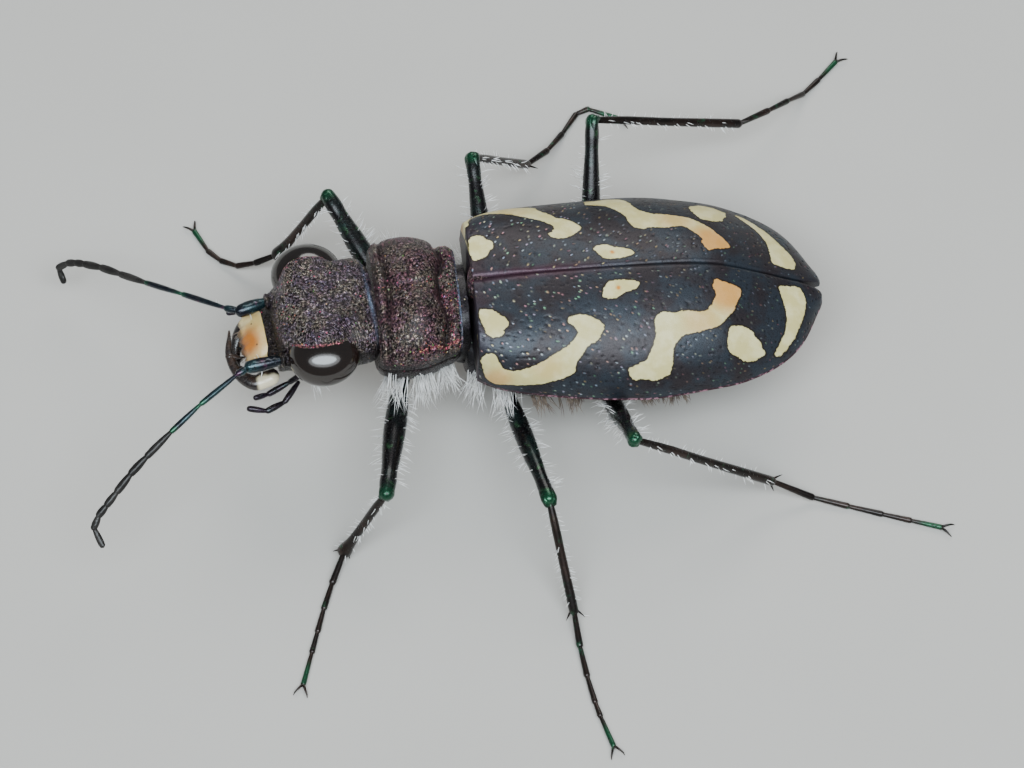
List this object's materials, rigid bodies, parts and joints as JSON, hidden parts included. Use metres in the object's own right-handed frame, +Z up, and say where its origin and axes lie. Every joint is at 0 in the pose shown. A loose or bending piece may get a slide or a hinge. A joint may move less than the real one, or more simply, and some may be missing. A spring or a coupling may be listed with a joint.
{
  "type": "tiger beetle",
  "caption": "Life-size still tiger beetle standing on thin legs, with bulging eyes, crossed jaws and dark wing cases marked in ivory",
  "frame": {"origin": "on the floor, under the middle of the bounding box of the standing beetle", "axes": "+X runs back along the body, with the head towards -X; +Y to the beetle's right; +Z up"},
  "size_m": [0.0254, 0.0232, 0.0055],
  "materials": {
    "body_shell": "dark bronzy purple chitin, finely wrinkled, satin with coloured glints",
    "wing_cases": "blue-black pitted chitin with ivory markings and a thin reddish metallic rim",
    "eyes": "very dark brown, glossy, finely faceted",
    "ivory_lip": "ivory with an orange stain and a few black pores",
    "jaws": "glossy brown-black, with an ivory patch at the base",
    "legs": "black-brown with a green metallic sheen and white bristles",
    "feelers": "metallic blue-green near the head, dull grey-black towards the tip"
  },
  "bodies": {
    "root": {"abdomen": "body_shell", "antenna_left_scape": "feelers", "antenna_left_shaft": "feelers", "antenna_left_tip": "feelers", "antenna_left_whip": "feelers", "antenna_right_scape": "feelers", "antenna_right_shaft": "feelers", "antenna_right_tip": "feelers", "antenna_right_whip": "feelers", "elytron_left": "wing_cases", "elytron_right": "wing_cases", "eye_left": "eyes", "eye_right": "eyes", "fore_leg_left_femur": "legs", "fore_leg_left_tarsus": "legs", "fore_leg_left_tibia": "legs", "fore_leg_right_femur": "legs", "fore_leg_right_tarsus": "legs", "fore_leg_right_tibia": "legs", "head": "body_shell", "hind_leg_left_femur": "legs", "hind_leg_left_tarsus": "legs", "hind_leg_left_tibia": "legs", "hind_leg_right_femur": "legs", "hind_leg_right_tarsus": "legs", "hind_leg_right_tibia": "legs", "labial_palp_left": "feelers", "labial_palp_right": "feelers", "labrum": "ivory_lip", "mandible_left": "jaws", "mandible_right": "jaws", "maxillary_palp_left": "feelers", "maxillary_palp_right": "feelers", "middle_leg_left_femur": "legs", "middle_leg_left_tarsus": "legs", "middle_leg_left_tibia": "legs", "middle_leg_right_femur": "legs", "middle_leg_right_tarsus": "legs", "middle_leg_right_tibia": "legs", "prothorax": "body_shell", "scutellum": "body_shell", "thorax": "body_shell"}
  },
  "joints": []
}
